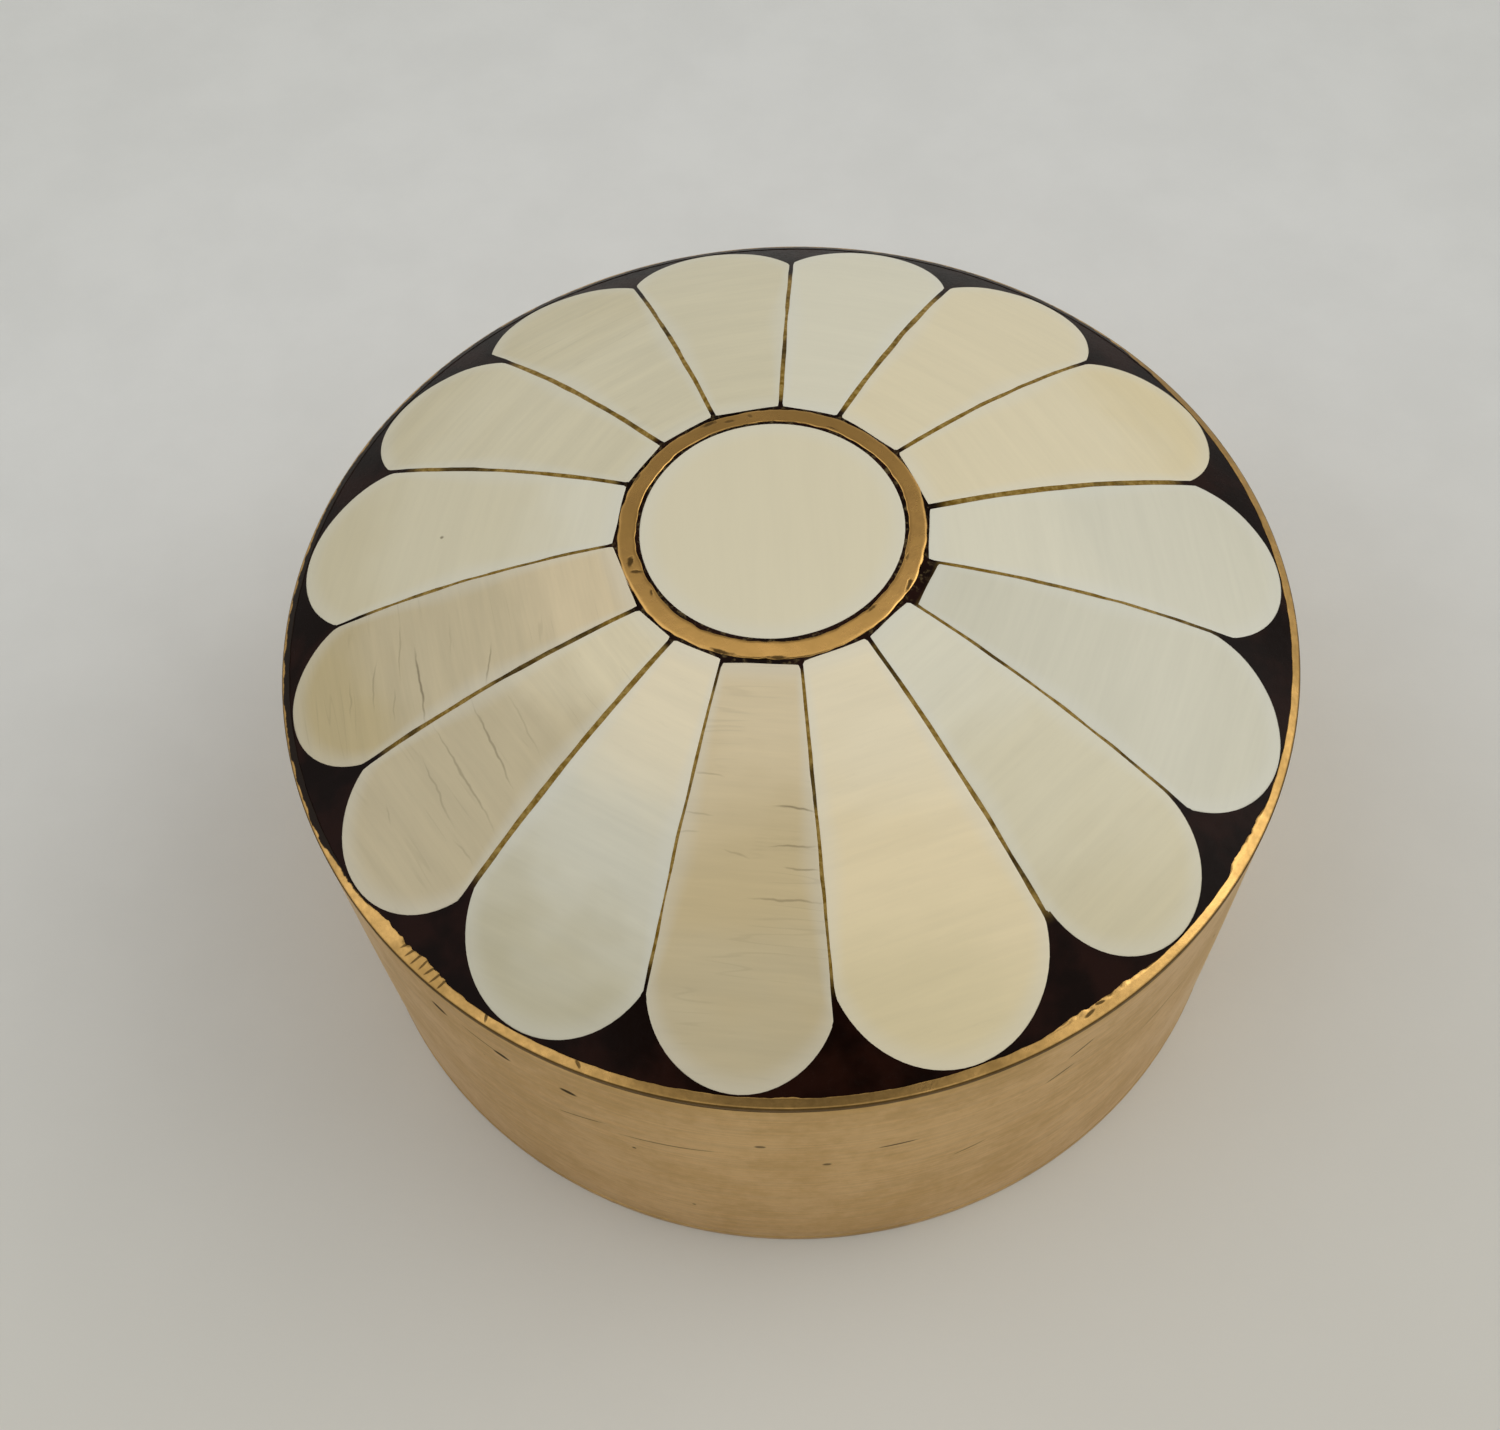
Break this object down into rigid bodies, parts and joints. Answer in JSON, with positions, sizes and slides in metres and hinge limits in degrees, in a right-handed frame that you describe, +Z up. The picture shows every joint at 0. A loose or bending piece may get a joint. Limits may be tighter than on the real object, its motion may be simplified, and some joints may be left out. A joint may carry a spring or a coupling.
{
  "type": "pill box",
  "caption": "Round brass pill box with a lift-off lid. The domed lid is inlaid with bone petals around a brass ring and a bone centre, bedded in dark resin.",
  "frame": {"origin": "centre of the flat underside that the box stands on", "axes": "+Z up along the box's axis, -Y towards the front"},
  "size_m": [0.05, 0.05, 0.0288],
  "materials": {
    "brass_wall": "satin, hand finished, fine scratches and small pits",
    "brass_inner": "plain sheet, brushed",
    "brass_polished": "filed and polished",
    "dark_resin": "polished near-black brown resin",
    "bone": "polished bone, cream to cool white"
  },
  "bodies": {
    "base": {"base_plate": "brass_inner", "base_band": "brass_inner"},
    "lid": {"lid_band": "brass_wall", "lid_hoop": "brass_polished", "lid_dome": "brass_inner", "resin_bed": "dark_resin", "centre_ring": "brass_polished", "centre_disc": "bone", "petal_01": "bone", "petal_02": "bone", "petal_03": "bone", "petal_04": "bone", "petal_05": "bone", "petal_06": "bone", "petal_07": "bone", "petal_08": "bone", "petal_09": "bone", "petal_10": "bone", "petal_11": "bone", "petal_12": "bone", "petal_13": "bone", "petal_14": "bone", "petal_15": "bone"}
  },
  "joints": [
    {"name": "lid_lift", "type": "slide", "parent": "base", "child": "lid", "axis": [0, 0, 1], "range_m": [0, 0.04]}
  ]
}
